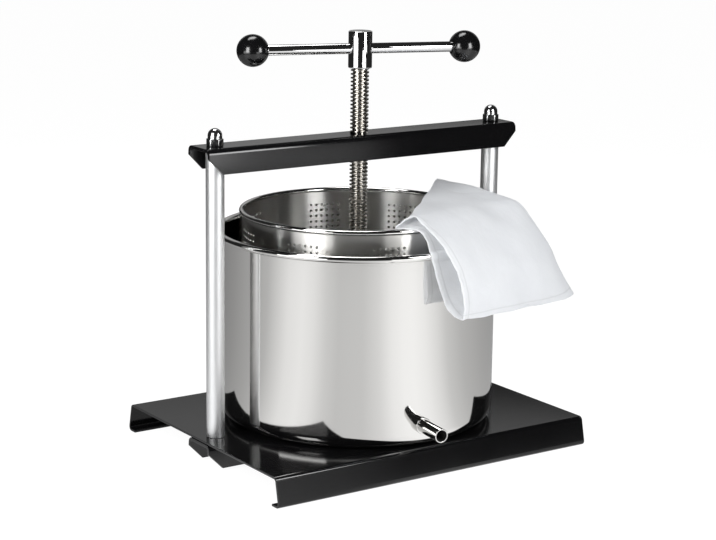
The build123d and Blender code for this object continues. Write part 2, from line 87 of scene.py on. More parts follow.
def makePowderCoat():
    # gloss black powder coat on folded sheet: flowed-out paint with a faint orange peel
    material, tree = newMaterial("powderCoat")
    place = addNode(tree, "ShaderNodeTexCoord").outputs["Object"]
    peel = addNode(tree, "ShaderNodeTexNoise",
                   {"Scale": perMetre(1.6), "Detail": 1.0, "Roughness": 0.4}, {"Vector": place})
    cloud = addNode(tree, "ShaderNodeTexNoise",
                    {"Scale": perMetre(70), "Detail": 3.0}, {"Vector": place})
    tone = addNode(tree, "ShaderNodeMix", {"data_type": "RGBA", 6: srgb("#070708"), 7: srgb("#0e0e0f")},
                   {0: cloud.outputs["Fac"]})
    gloss = addNode(tree, "ShaderNodeMapRange", {"To Min": 0.09, "To Max": 0.15},
                    {"Value": cloud.outputs["Fac"]})
    bump = addNode(tree, "ShaderNodeBump", {"Strength": 0.1, "Distance": 0.02 * mm},
                   {"Height": peel.outputs["Fac"]})
    closeMaterial(tree, {"IOR": 1.5},
                  {"Base Color": tone.outputs[2], "Roughness": gloss.outputs[0], "Normal": bump.outputs[0]})
    return material


def makeSatinAluminium():
    # drawn aluminium tube, satin anodised: soft wide highlights with fine lengthwise draw lines
    material, tree = newMaterial("satinAluminium")
    place = addNode(tree, "ShaderNodeTexCoord").outputs["Object"]
    along = addNode(tree, "ShaderNodeMapping",
                    {"Scale": (perMetre(0.5), perMetre(0.5), perMetre(60))}, {"Vector": place})
    lines = addNode(tree, "ShaderNodeTexNoise", {"Scale": 1.0, "Detail": 2.0},
                    {"Vector": along.outputs[0]})
    gloss = addNode(tree, "ShaderNodeMapRange", {"To Min": 0.4, "To Max": 0.5},
                    {"Value": lines.outputs["Fac"]})
    bump = addNode(tree, "ShaderNodeBump", {"Strength": 0.06, "Distance": 0.02 * mm},
                   {"Height": lines.outputs["Fac"]})
    closeMaterial(tree, {"Base Color": srgb("#f3f4f5"), "Metallic": 1.0},
                  {"Roughness": gloss.outputs[0], "Normal": bump.outputs[0]})
    return material


def makePotSteel():
    # deep-drawn stainless steel, buffed: near mirror, faint buffing lines that run round the wall
    material, tree = newMaterial("potSteel")
    place = addNode(tree, "ShaderNodeTexCoord").outputs["Object"]
    around = addNode(tree, "ShaderNodeMapping",
                     {"Scale": (perMetre(40), perMetre(40), perMetre(0.8))}, {"Vector": place})
    lines = addNode(tree, "ShaderNodeTexNoise", {"Scale": 1.0, "Detail": 3.0},
                    {"Vector": around.outputs[0]})
    cloud = addNode(tree, "ShaderNodeTexNoise", {"Scale": perMetre(45), "Detail": 2.0},
                    {"Vector": place})
    mixed = addNode(tree, "ShaderNodeMath", {"operation": "MULTIPLY"},
                    {0: lines.outputs["Fac"], 1: cloud.outputs["Fac"]})
    gloss = addNode(tree, "ShaderNodeMapRange",
                    {"From Max": 0.5, "To Min": 0.04, "To Max": 0.09}, {"Value": mixed.outputs[0]})
    closeMaterial(tree, {"Base Color": srgb("#dedddb"), "Metallic": 1.0}, {"Roughness": gloss.outputs[0]})
    return material


def makeBasketSteel():
    # stainless sheet with a fine grain round the wall, which draws highlights out upright
    material, tree = newMaterial("basketSteel")
    place = addNode(tree, "ShaderNodeTexCoord").outputs["Object"]
    around = addNode(tree, "ShaderNodeMapping",
                     {"Scale": (perMetre(30), perMetre(30), perMetre(0.6))}, {"Vector": place})
    grain = addNode(tree, "ShaderNodeTexNoise", {"Scale": 1.0, "Detail": 3.0},
                    {"Vector": around.outputs[0]})
    gloss = addNode(tree, "ShaderNodeMapRange", {"To Min": 0.27, "To Max": 0.33},
                    {"Value": grain.outputs["Fac"]})
    tangent = addNode(tree, "ShaderNodeTangent", {"direction_type": "RADIAL", "axis": "Z"})
    closeMaterial(tree, {"Base Color": srgb("#d6d5d2"), "Metallic": 1.0, "Anisotropic": 0.97,
                         "Anisotropic Rotation": 0.25},
                  {"Roughness": gloss.outputs[0], "Tangent": tangent.outputs[0]})
    return material


def makeBrushedStainless():
    # stainless disc faced on a lathe: fine rings round its centre
    material, tree = newMaterial("brushedStainless")
    place = addNode(tree, "ShaderNodeTexCoord").outputs["Object"]
    flat = addNode(tree, "ShaderNodeVectorMath", {"operation": "MULTIPLY", 1: (1, 1, 0)}, {0: place})
    radius = addNode(tree, "ShaderNodeVectorMath", {"operation": "LENGTH"}, {0: flat.outputs[0]})
    rings = addNode(tree, "ShaderNodeTexNoise",
                    {"noise_dimensions": "1D", "Scale": perMetre(0.5), "Detail": 3.0},
                    {"W": radius.outputs["Value"]})
    gloss = addNode(tree, "ShaderNodeMapRange", {"To Min": 0.22, "To Max": 0.38},
                    {"Value": rings.outputs["Fac"]})
    bump = addNode(tree, "ShaderNodeBump", {"Strength": 0.1, "Distance": 0.02 * mm},
                   {"Height": rings.outputs["Fac"]})
    closeMaterial(tree, {"Base Color": srgb("#c9c9c8"), "Metallic": 1.0},
                  {"Roughness": gloss.outputs[0], "Normal": bump.outputs[0]})
    return material


def makeWornSteel(name, colour, smooth, rough, grit):
    # bare, plated or cast metal: even colour with small bright and dull spots from handling
    material, tree = newMaterial(name)
    place = addNode(tree, "ShaderNodeTexCoord").outputs["Object"]
    spots = addNode(tree, "ShaderNodeTexNoise", {"Scale": perMetre(grit), "Detail": 4.0},
                    {"Vector": place})
    gloss = addNode(tree, "ShaderNodeMapRange", {"To Min": smooth, "To Max": rough},
                    {"Value": spots.outputs["Fac"]})
    closeMaterial(tree, {"Base Color": srgb(colour), "Metallic": 1.0}, {"Roughness": gloss.outputs[0]})
    return material


def makeBallPlastic():
    # compression-moulded phenolic: deep black, glossy, a trace of flow in the surface
    material, tree = newMaterial("ballPlastic")
    place = addNode(tree, "ShaderNodeTexCoord").outputs["Object"]
    flow = addNode(tree, "ShaderNodeTexNoise", {"Scale": perMetre(9), "Detail": 2.0}, {"Vector": place})
    gloss = addNode(tree, "ShaderNodeMapRange", {"To Min": 0.12, "To Max": 0.2},
                    {"Value": flow.outputs["Fac"]})
    closeMaterial(tree, {"Base Color": srgb("#0c0c0d"), "IOR": 1.58}, {"Roughness": gloss.outputs[0]})
    return material


def makePressCloth(width, length, hem):
    # plain-woven polyester filter cloth: close weave, cool white, lets light through, stitched hems;
    # painted shade darkens the seams and the crease hollows
    material, tree = newMaterial("pressCloth")
    unrolled = addNode(tree, "ShaderNodeUVMap", {"uv_map": "clothMap"}).outputs["UV"]
    laidOut = addNode(tree, "ShaderNodeVectorMath", {"operation": "MULTIPLY", 1: (width, length, 0)},
                      {0: unrolled})
    parts = addNode(tree, "ShaderNodeSeparateXYZ", links={"Vector": laidOut.outputs[0]})
    thread = 1.4    # real threads lie 0.35 mm apart, drawn four times as coarse so that they show
    creaseSize = 34
    seamWidth = 1.3
    seeThrough = 0.6
    waves = []
    for axis in ("X", "Y"):
        turn = addNode(tree, "ShaderNodeMath", {"operation": "MULTIPLY", 1: pi / thread},
                       {0: parts.outputs[axis]})
        waves.append(addNode(tree, "ShaderNodeMath", {"operation": "SINE"}, {0: turn.outputs[0]}))
    weave = addNode(tree, "ShaderNodeMath", {"operation": "MULTIPLY"},
                    {0: waves[0].outputs[0], 1: waves[1].outputs[0]})
    crease = addNode(tree, "ShaderNodeTexNoise",
                     {"Scale": 1 / creaseSize, "Detail": 4.0, "Roughness": 0.55},
                     {"Vector": laidOut.outputs[0]})
    seams = []
    for axis, seam in (("X", hem), ("X", width - hem), ("Y", length - hem)):
        off = addNode(tree, "ShaderNodeMath", {"operation": "SUBTRACT", 1: seam}, {0: parts.outputs[axis]})
        seams.append(addNode(tree, "ShaderNodeMath", {"operation": "ABSOLUTE"}, {0: off.outputs[0]}))
    nearest = seams[0]
    for seam in seams[1:]:
        nearest = addNode(tree, "ShaderNodeMath", {"operation": "MINIMUM"},
                          {0: nearest.outputs[0], 1: seam.outputs[0]})
    furrow = addNode(tree, "ShaderNodeMapRange",
                     {"interpolation_type": "SMOOTHSTEP", "From Max": seamWidth},
                     {"Value": nearest.outputs[0]})
    fine = addNode(tree, "ShaderNodeBump", {"Strength": 0.1, "Distance": 0.1 * mm},
                   {"Height": weave.outputs[0]})
    sewn = addNode(tree, "ShaderNodeBump", {"Strength": 0.3, "Distance": 0.3 * mm},
                   {"Height": furrow.outputs[0], "Normal": fine.outputs[0]})
    bump = addNode(tree, "ShaderNodeBump", {"Strength": 0.6, "Distance": 1.6 * mm},
                   {"Height": crease.outputs["Fac"], "Normal": sewn.outputs[0]})
    # painted shade: the cloth's colour follows the crease bump, darker in its hollows and lighter on its
    # ridges
    tone = addNode(tree, "ShaderNodeMix", {"data_type": "RGBA", 6: srgb("#ebecee"), 7: srgb("#f3f4f5")},
                   {0: crease.outputs["Fac"]})
    # painted shade: the cloth is darker along the seams, where the hems' furrows lie
    paintedSeamShade = addNode(tree, "ShaderNodeMix", {"data_type": "RGBA", 6: srgb("#e4e5e6")},
                    {0: furrow.outputs[0], 7: tone.outputs[2]})
    front = addNode(tree, "ShaderNodeBsdfPrincipled",
                    {"Roughness": 0.75, "Sheen Weight": 0.2, "Sheen Roughness": 0.4},
                    {"Base Color": paintedSeamShade.outputs[2], "Normal": bump.outputs[0]})
    through = addNode(tree, "ShaderNodeBsdfTranslucent", links={"Color": paintedSeamShade.outputs[2],
                                                                "Normal": bump.outputs[0]})
    mixed = addNode(tree, "ShaderNodeMixShader", {0: seeThrough},
                    {1: front.outputs[0], 2: through.outputs[0]})
    addNode(tree, "ShaderNodeOutputMaterial", links={"Surface": mixed.outputs[0]})
    return material


powderCoat = makePowderCoat()
satinAluminium = makeSatinAluminium()
potSteel = makePotSteel()
basketSteel = makeBasketSteel()
brushedStainless = makeBrushedStainless()
chrome = makeWornSteel("chrome", "#e6e6e6", 0.03, 0.06, 12)
turnedSteel = makeWornSteel("turnedSteel", "#c3bfb8", 0.14, 0.24, 1.5)
zincSteel = makeWornSteel("zincSteel", "#d4d5d6", 0.12, 0.22, 2)
bronze = makeWornSteel("bronze", "#b98a4e", 0.25, 0.4, 2)
rawBore = makeWornSteel("rawBore", "#8f8e8c", 0.4, 0.6, 1.2)
ballPlastic = makeBallPlastic()
print("materials ready:", len(bpy.data.materials))


def roundCorner(bm, vert, radius, segments=6):
    # one corner of a wire outline becomes an arc of this radius
    first, second = (edge.other_vert(vert).co - vert.co for edge in vert.link_edges)
    turn = pi - first.angle(second)
    bmesh.ops.bevel(bm, geom=[vert], offset=radius * tan(turn / 2), offset_type="OFFSET",
                    affect="VERTICES", segments=segments, profile=0.5, material=-1)


def drawWire(bm, points, radii, closed=False):
    # outline through the points, with the listed corners rounded
    verts = [bm.verts.new(point) for point in points]
    for first, second in zip(verts, verts[1:]):
        bm.edges.new((first, second))
    if closed:
        bm.edges.new((verts[-1], verts[0]))
    for index, radius in radii.items():
        roundCorner(bm, verts[index], radius)


def latheInto(bm, points, radii=None, steps=96, closed=False, place=Matrix()):
    # outline of radius and height in millimetres, spun about Z and put in place
    shape = bmesh.new()
    drawWire(shape, [(r * mm, 0, h * mm) for r, h in points],
             {index: radius * mm for index, radius in (radii or {}).items()}, closed)
    bmesh.ops.spin(shape, geom=shape.verts[:] + shape.edges[:], cent=(0, 0, 0), axis=(0, 0, 1),
                   dvec=(0, 0, 0), angle=2 * pi, steps=steps, use_merge=True)
    bmesh.ops.remove_doubles(shape, verts=shape.verts[:], dist=weld)
    bmesh.ops.recalc_face_normals(shape, faces=shape.faces[:])
    bmesh.ops.transform(shape, matrix=place, verts=shape.verts[:])
    spun = bpy.data.meshes.new("spun")
    shape.to_mesh(spun)
    shape.free()
    bm.from_mesh(spun)
    bpy.data.meshes.remove(spun)


def addPiece(name, bm, material, body, nodes, sharpAngle=32, weighted=False):
    mesh = bpy.data.meshes.new(name)
    bm.to_mesh(mesh)
    bm.free()
    mesh.shade_smooth()
    mesh.set_sharp_from_angle(angle=radians(sharpAngle))
    mesh.materials.append(material)
    piece = bpy.data.objects.new(name, mesh)
    bpy.context.scene.collection.objects.link(piece)
    if weighted:
        normals = piece.modifiers.new("evenNormals", "WEIGHTED_NORMAL")
        normals.keep_sharp = True
    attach(piece, body)
    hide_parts(*nodes)
    return piece


nodeBoxes = {}


def boxOf(node):
    # lowest and highest corner of a node in millimetres, measured once
    if node not in nodeBoxes:
        nodeBoxes[node] = [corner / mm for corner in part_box(node)]
    return nodeBoxes[node]


def boreSheet(bm, centre, radius, square, segments=48):
    # round hole in a flat level sheet: cut a square round it, then bridge the square to a circle
    level = centre.z
    near = 0.01 * mm
    for axis in (Vector((1, 0, 0)), Vector((0, 1, 0))):
        for side in (-1, 1):
            flat = [face for face in bm.faces if abs(face.calc_center_median().z - level) < near]
            parts = {item for face in flat for item in (face, *face.edges, *face.verts)}
            bmesh.ops.bisect_plane(bm, geom=list(parts), plane_co=centre + axis * side * square,
                                   plane_no=axis)
    middle = [face for face in bm.faces if (face.calc_center_median() - centre).length < near]
    edges = list(middle[0].edges)
    bmesh.ops.delete(bm, geom=middle, context="FACES_ONLY")
    ring = bmesh.ops.create_circle(bm, segments=segments, radius=radius,
                                   matrix=Matrix.Translation(centre))["verts"]
    edges += {edge for vert in ring for edge in vert.link_edges}
    bmesh.ops.bridge_loops(bm, edges=edges)


def thickenSheet(bm, sheet, edge, cutAngle=60):
    # faces up, then the sheet's thickness below them, then its cut edges eased
    bmesh.ops.recalc_face_normals(bm, faces=bm.faces[:])
    top = max(bm.faces, key=lambda face: face.calc_center_median().z)
    if top.normal.z < 0:
        bmesh.ops.reverse_faces(bm, faces=bm.faces[:])
    bmesh.ops.solidify(bm, geom=bm.faces[:], thickness=sheet)
    cutEdges = [item for item in bm.edges
                if item.is_manifold and item.calc_face_angle() > radians(cutAngle)]
    bmesh.ops.bevel(bm, geom=cutEdges, offset=edge, offset_type="OFFSET", affect="EDGES",
                    segments=2, profile=0.5, material=-1)


def foldSheet(points, bend, halfLength):
    # bent sheet run along X from an outline of y and z in millimetres
    bm = bmesh.new()
    corners = {index: bend * mm for index in range(1, len(points) - 1)}
    drawWire(bm, [(-halfLength * mm, y * mm, z * mm) for y, z in points], corners)
    run = bmesh.ops.extrude_edge_only(bm, edges=bm.edges[:])["geom"]
    bmesh.ops.translate(bm, vec=(2 * halfLength * mm, 0, 0),
                        verts=[item for item in run if isinstance(item, bmesh.types.BMVert)])
    return bm


# base plate: folded sheet with leaning flanges and lips on the bench
basePlate = {"depth": 250, "splay": 5.6, "lip": 12, "bend": 4, "sheet": 2, "edge": 0.35}


def makeBasePlate():
    high = boxOf("base_plate")[1]
    half = basePlate["depth"] / 2
    foot = half + basePlate["splay"]
    inner = foot - basePlate["lip"]
    outline = [(-inner, 0), (-foot, 0), (-half, high.z), (half, high.z), (foot, 0), (inner, 0)]
    bm = foldSheet(outline, basePlate["bend"], high.x)
    thickenSheet(bm, basePlate["sheet"] * mm, basePlate["edge"] * mm)
    addPiece("basePlate", bm, powderCoat, "frame", ["base_plate"], weighted=True)


# the beam and the stiffener are one channel section, with slanted ends
channel = {"splay": 1.7, "bend": 5, "sheet": 3, "chamfer": 13.5, "edge": 0.4, "width": 34.7,
           "holeMargin": 2}


def makeChannel(name, node, bottom, holeRadius=0):
    high = boxOf(node)[1]
    half = channel["width"] / 2
    foot = half + channel["splay"]
    bm = foldSheet([(-foot, bottom), (-half, high.z), (half, high.z), (foot, bottom)],
                   channel["bend"], high.x)
    for side in (-1, 1):
        cutPoint = Vector((side * (high.x - channel["chamfer"]), 0, bottom)) * mm
        bmesh.ops.bisect_plane(bm, geom=bm.verts[:] + bm.edges[:] + bm.faces[:], plane_co=cutPoint,
                               plane_no=(side, 0, -1), clear_outer=True)
    if holeRadius:
        square = holeRadius + channel["holeMargin"]
        boreSheet(bm, Vector((0, 0, high.z)) * mm, holeRadius * mm, square * mm)
    thickenSheet(bm, channel["sheet"] * mm, channel["edge"] * mm)
    addPiece(name, bm, powderCoat, "frame", [node], weighted=True)


beam = {"height": 21.7, "hole": 17.5}
stiffener = {"floorGap": 2.3}

makeBasePlate()
makeChannel("topBeam", "top_beam", boxOf("top_beam")[1].z - beam["height"], beam["hole"] / 2)
makeChannel("baseChannel", "base_channel", stiffener["floorGap"])
print("folded sheet: base plate, beam and stiffener")


# spacer posts of drawn tube
post = {"wall": 2, "edge": 0.4}


def makePosts():
    for side in ("left", "right"):
        low, high = boxOf(side + "_post")
        outer = (high.x - low.x) / 2
        place = Matrix.Translation(Vector(((low.x + high.x) / 2, 0, 0)) * mm)
        bm = bmesh.new()
        latheInto(bm, [(outer - post["wall"], low.z), (outer, low.z), (outer, high.z),
                       (outer - post["wall"], high.z)],
                  {1: post["edge"], 2: post["edge"]}, closed=True, place=place)
        addPiece(side + "Post", bm, satinAluminium, "frame", [side + "_post"])


# domed nuts on the beam
acornNut = {"flats": 13, "hexHeight": 6.5, "dome": 12.4, "corner": 0.7, "turn": -4.6, "seat": 1,
            "domeRound": 0.98, "steps": 48}


def makeAcornNuts():
    low, high = boxOf("acorn_nuts")
    postX = (boxOf("right_post")[0].x + boxOf("right_post")[1].x) / 2
    hexTop = low.z + acornNut["hexHeight"]
    domeFoot = hexTop - acornNut["seat"]
    domeRadius = acornNut["dome"] / 2
    bm = bmesh.new()
    for x in (-postX, postX):
        place = Matrix.Translation(Vector((x, 0, 0)) * mm)
        middle = Matrix.Translation(Vector((x, 0, (low.z + hexTop) / 2)) * mm)
        turn = Matrix.Rotation(radians(acornNut["turn"]), 4, "Z")
        corner = acornNut["flats"] / sqrt(3) * mm
        hexagon = bmesh.ops.create_cone(bm, cap_ends=True, segments=6, radius1=corner, radius2=corner,
                                        depth=acornNut["hexHeight"] * mm, matrix=middle @ turn)["verts"]
        hexEdges = list({edge for vert in hexagon for edge in vert.link_edges})
        bmesh.ops.bevel(bm, geom=hexEdges, offset=acornNut["corner"] * mm, offset_type="OFFSET",
                        affect="EDGES", segments=3, profile=0.5, material=-1)
        latheInto(bm, [(0, domeFoot), (domeRadius, domeFoot), (domeRadius, high.z), (0, high.z)],
                  {2: domeRadius * acornNut["domeRound"]}, acornNut["steps"], place=place)
    addPiece("acornNuts", bm, zincSteel, "frame", ["acorn_nuts"])


makePosts()
makeAcornNuts()
print("posts and domed nuts")


# screw: one-start thread, journal below and stub above
screw = {"diameter": 16.2, "depth": 1.9, "pitch": 3.4, "flank": 15, "round": 0.22, "journal": 12,
         "cupGap": 1.7, "steps": 40, "overlap": 1, "shankEdge": 0.5, "shankSteps": 48}


def makeSpindle():
    low, high = boxOf("spindle")
    bottom = boxOf("thrust_cup")[1].z + screw["cupGap"]
    top = boxOf("handle_hub")[0].z
    crestRadius = screw["diameter"] / 2
    rootRadius = crestRadius - screw["depth"]
    flank = screw["depth"] * tan(radians(screw["flank"]))
    crest = screw["pitch"] / 4 - flank / 2
    start = bottom - screw["pitch"]
    halfPitch = screw["pitch"] / 2
    outline = [(rootRadius, -halfPitch), (rootRadius, -crest - flank), (crestRadius, -crest),
               (crestRadius, crest), (rootRadius, crest + flank), (rootRadius, halfPitch)]
    bm = bmesh.new()
    drawWire(bm, [(r * mm, 0, (start + h) * mm) for r, h in outline],
             {index: screw["round"] * mm for index in range(1, 5)})
    steps = screw["steps"]
    bmesh.ops.spin(bm, geom=bm.verts[:] + bm.edges[:], cent=(0, 0, 0), axis=(0, 0, 1),
                   dvec=(0, 0, screw["pitch"] * mm / steps), angle=2 * pi, steps=steps, use_merge=False)
    oneTurn = bpy.data.meshes.new("oneTurn")
    bm.to_mesh(oneTurn)
    bm.clear()
    for turn in range(int((top - start) / screw["pitch"]) + 3):
        known = len(bm.verts)
        bm.from_mesh(oneTurn)
        bm.verts.ensure_lookup_table()
        bmesh.ops.translate(bm, vec=(0, 0, turn * screw["pitch"] * mm), verts=bm.verts[known:])
    bpy.data.meshes.remove(oneTurn)
    bmesh.ops.remove_doubles(bm, verts=bm.verts[:], dist=weld)
    overlap = screw["overlap"]
    for level, side in ((bottom, -1), (top + overlap, 1)):
        bmesh.ops.bisect_plane(bm, geom=bm.verts[:] + bm.edges[:] + bm.faces[:],
                               plane_co=(0, 0, level * mm), plane_no=(0, 0, side), clear_outer=True)
    bmesh.ops.holes_fill(bm, edges=[edge for edge in bm.edges if edge.is_boundary])
    bmesh.ops.recalc_face_normals(bm, faces=bm.faces[:])
    shank = screw["journal"] / 2
    edge = screw["shankEdge"]
    latheInto(bm, [(0, low.z), (shank, low.z), (shank, bottom + overlap), (0, bottom + overlap)],
              {1: edge}, screw["shankSteps"])
    latheInto(bm, [(0, top), (shank, top), (shank, high.z), (0, high.z)], {2: edge}, screw["shankSteps"])
    addPiece("pressScrew", bm, turnedSteel, "spindle", ["spindle"])


# hub and bar of the handle
handle = {"hubEdge": 1, "hubSteps": 128, "barDiameter": 9.3, "barEnd": 0.5, "barSteps": 64}


def handleAxis():
    # middle of the bar, its direction and its half length, from the two knobs
    leftLow, leftHigh = boxOf("left_knob")
    rightLow, rightHigh = boxOf("right_knob")
    left = (leftLow + leftHigh) / 2
    right = (rightLow + rightHigh) / 2
    return (left + right) / 2, (right - left).normalized(), (right - left).length / 2


def alongHandle(shift=0, flip=False):
    # turns Z to the bar's direction
    middle, direction = handleAxis()[:2]
    facing = -direction if flip else direction
    turn = facing.to_track_quat("Z", "Y").to_matrix().to_4x4()
    return Matrix.Translation((middle + direction * shift) * mm) @ turn


def makeHandle():
    low, high = boxOf("handle_hub")
    radius = (high.x - low.x) / 2
    bm = bmesh.new()
    latheInto(bm, [(0, low.z), (radius, low.z), (radius, high.z), (0, high.z)],
              {1: handle["hubEdge"], 2: handle["hubEdge"]}, handle["hubSteps"])
    addPiece("handleHub", bm, chrome, "spindle", ["handle_hub"])
    half = handleAxis()[2]
    barRadius = handle["barDiameter"] / 2
    bm = bmesh.new()
    latheInto(bm, [(0, -half), (barRadius, -half), (barRadius, half), (0, half)],
              {1: handle["barEnd"], 2: handle["barEnd"]}, handle["barSteps"], place=alongHandle())
    addPiece("handleBar", bm, chrome, "spindle", ["handle_bar"])


# ball knobs: moulded balls with a flat round the bar
knob = {"flat": 12.5, "flatEdge": 0.6, "meridians": 96, "parallels": 64}


def makeKnobs():
    for side, flip in (("left", True), ("right", False)):
        low, high = boxOf(side + "_knob")
        radius = (high.z - low.z) / 2
        half = handleAxis()[2]
        seat = sqrt(radius ** 2 - (knob["flat"] / 2) ** 2)
        bm = bmesh.new()
        bmesh.ops.create_uvsphere(bm, u_segments=knob["meridians"], v_segments=knob["parallels"],
                                  radius=radius * mm)
        bmesh.ops.bisect_plane(bm, geom=bm.verts[:] + bm.edges[:] + bm.faces[:],
                               plane_co=(0, 0, -seat * mm), plane_no=(0, 0, -1), clear_outer=True)
        rim = bmesh.ops.holes_fill(bm, edges=[edge for edge in bm.edges if edge.is_boundary])["faces"]
        bmesh.ops.bevel(bm, geom=[edge for face in rim for edge in face.edges],
                        offset=knob["flatEdge"] * mm, offset_type="OFFSET", affect="EDGES", segments=3,
                        profile=0.5, material=-1)
        bmesh.ops.transform(bm, matrix=alongHandle(-half if flip else half, flip), verts=bm.verts[:])
        addPiece(side + "Knob", bm, ballPlastic, "spindle", [side + "_knob"],
                 sharpAngle=40)


makeSpindle()
makeHandle()
makeKnobs()
print("screw, hub, bar and knobs")


# press plate and thrust cup
pressHead = {"plateEdge": 1.5, "plateSteps": 192, "cupBore": 12.16, "cupEdge": 2, "cupRound": 0.4}


def makePressHead():
    low, high = boxOf("press_plate")
    bm = bmesh.new()
    latheInto(bm, [(0, low.z), (high.x, low.z), (high.x, high.z), (0, high.z)],
              {1: pressHead["plateEdge"], 2: pressHead["plateEdge"]}, pressHead["plateSteps"])
    addPiece("pressPlate", bm, brushedStainless, "press_head", ["press_plate"])
    low, high = boxOf("thrust_cup")
    bore = pressHead["cupBore"] / 2
    edge = pressHead["cupEdge"]
    bm = bmesh.new()
    latheInto(bm, [(bore, low.z), (high.x, low.z), (high.x, high.z - edge), (high.x - edge, high.z),
                   (bore, high.z)], {2: pressHead["cupRound"], 3: pressHead["cupRound"]}, closed=True)
    addPiece("thrustCup", bm, turnedSteel, "press_head", ["thrust_cup"])


# juice pot: flat floor, rounded foot, rolled rim, spout low at the front
pot = {"wall": 1, "bead": 6, "corner": 11, "steps": 256, "holeBand": 9, "holeFacing": 0.9,
       "neckOut": 1.1, "neckDrop": 0.88, "lipDrop": 1, "lipRound": 0.8}
spout = {"diameter": 12, "bore": 10, "mouth": 0.35, "inside": 2, "collarWall": 1.1, "collarLength": 6.4,
         "collarEdge": 0.5, "collarSeat": 0.6, "steps": 64}


def spoutAxis():
    # direction of the spout and the place where its axis leaves the screw's axis
    low, high = boxOf("spout_collar")
    middle = (low + high) / 2
    direction = Vector((middle.x, middle.y, 0)).normalized()
    origin = Vector((0, 0, middle.z))
    turn = direction.to_track_quat("Z", "Y").to_matrix().to_4x4()
    return origin, direction, Matrix.Translation(origin * mm) @ turn


def borePotWall(bm, wallRadius, facing):
    # wall faces round the spout axis taken out, their border bridged to a circle, whose edges it returns
    origin, direction, place = spoutAxis()
    band = pot["holeBand"]
    block = []
    for face in bm.faces:
        centre = face.calc_center_median() / mm - origin
        outward = face.normal.dot(direction) * facing
        side = centre.cross(direction).z
        inBand = abs(centre.z) < band and abs(side) < band and centre.dot(direction) > 0
        if inBand and outward > pot["holeFacing"]:
            block.append(face)
    inside = set(block)
    border = [edge for edge in {edge for face in block for edge in face.edges}
              if len([face for face in edge.link_faces if face in inside]) == 1]
    bmesh.ops.delete(bm, geom=block, context="FACES")
    ring = bmesh.ops.create_circle(bm, segments=spout["steps"], radius=spout["diameter"] / 2 * mm,
                                   matrix=place)["verts"]
    for vert in ring:
        away = vert.co / mm - origin
        across = Vector((away.x, away.y, 0))
        reach = sqrt(wallRadius ** 2 - across.length_squared)
        vert.co += direction * reach * mm
    ringEdges = list({edge for vert in ring for edge in vert.link_edges})
    bmesh.ops.bridge_loops(bm, edges=border + ringEdges)
    return ringEdges


def makePot():
    low, high = boxOf("juice_pot")
    bead = pot["bead"] / 2
    centre = high.x - bead
    level = high.z - bead
    outer = centre - bead + pot["wall"] / 2
    inner = outer - pot["wall"]
    floor = low.z + pot["wall"]
    origin, direction, place = spoutAxis()
    band = pot["holeBand"]
    neck = sqrt(bead ** 2 - (centre - outer) ** 2)
    outline = [(0, low.z), (outer, low.z), (outer, origin.z - band), (outer, origin.z + band),
               (outer, level - neck), (outer + pot["neckOut"], level - bead * pot["neckDrop"]),
               (centre, level - bead), (high.x, level - bead), (high.x, high.z), (centre - bead, high.z),
               (inner, level - pot["lipDrop"]), (inner, origin.z + band), (inner, origin.z - band),
               (inner, floor), (0, floor)]
    radii = {1: pot["corner"], 7: bead, 8: bead, 9: bead * pot["lipRound"], 13: pot["corner"] - pot["wall"]}
    bm = bmesh.new()
    latheInto(bm, outline, radii, pot["steps"])
    rings = borePotWall(bm, outer, 1) + borePotWall(bm, inner, -1)
    bmesh.ops.bridge_loops(bm, edges=rings)
    bmesh.ops.recalc_face_normals(bm, faces=bm.faces[:])
    addPiece("juicePot", bm, potSteel, "pot", ["juice_pot"], sharpAngle=40)

    tubeLow = boxOf("spout_tube")[0]
    outside = spout["diameter"] / 2
    bore = spout["bore"] / 2
    near = inner - spout["inside"]
    far = (tubeLow.y + outside * abs(direction.x)) / direction.y
    bm = bmesh.new()
    latheInto(bm, [(bore, near), (outside, near), (outside, far), (bore, far)],
              {2: spout["mouth"], 3: spout["mouth"]}, spout["steps"], closed=True, place=place)
    away = place.inverted()
    for face in bm.faces:
        across = (away @ face.calc_center_median()).to_2d().length / mm
        face.material_index = int(across < bore + spout["mouth"] / 4)
    tube = addPiece("spoutTube", bm, potSteel, "pot", ["spout_tube"])
    tube.data.materials.append(rawBore)
    foot = outside + spout["collarWall"]
    seat = outer - spout["collarSeat"]
    end = outer + spout["collarLength"]
    bm = bmesh.new()
    latheInto(bm, [(outside, seat), (foot, seat), (foot, end), (outside, end)],
              {2: spout["collarEdge"]}, spout["steps"], closed=True, place=place)
    addPiece("spoutCollar", bm, potSteel, "pot", ["spout_collar"])


# basket wall: punched sheet rolled in narrow strips, patches of small holes under the rim, drain holes
# over the floor
basket = {"strips": 120, "wall": 0.8, "hole": 2.3, "rowStep": 5.3, "rows": 10, "firstRow": 16.1,
          "columns": 6, "runs": (39, 100), "patchStep": 14, "patches": 4, "drain": 4.4, "drainRise": 5,
          "drainStep": 5, "bead": 4.6, "beadSteps": 24, "rimSteps": 240}


def punchCells(bm, cells, margin, hole):
    # round hole in each cell: the cell set in by the margin, its corners rounded, its middle taken out
    bmesh.ops.inset_individual(bm, faces=cells, thickness=margin * mm, use_even_offset=True)
    corners = {vert for face in cells for vert in face.verts}
    bmesh.ops.bevel(bm, geom=list(corners), offset=hole * (1 - sqrt(0.5)) * mm, offset_type="OFFSET",
                    affect="VERTICES", segments=2, profile=0.5, material=-1)
    rounded = 8    # the middle has 12 corners by now, the cells and their frames have fewer
    middles = [face for face in bm.faces if len(face.verts) > rounded]
    bmesh.ops.delete(bm, geom=middles, context="FACES_ONLY")


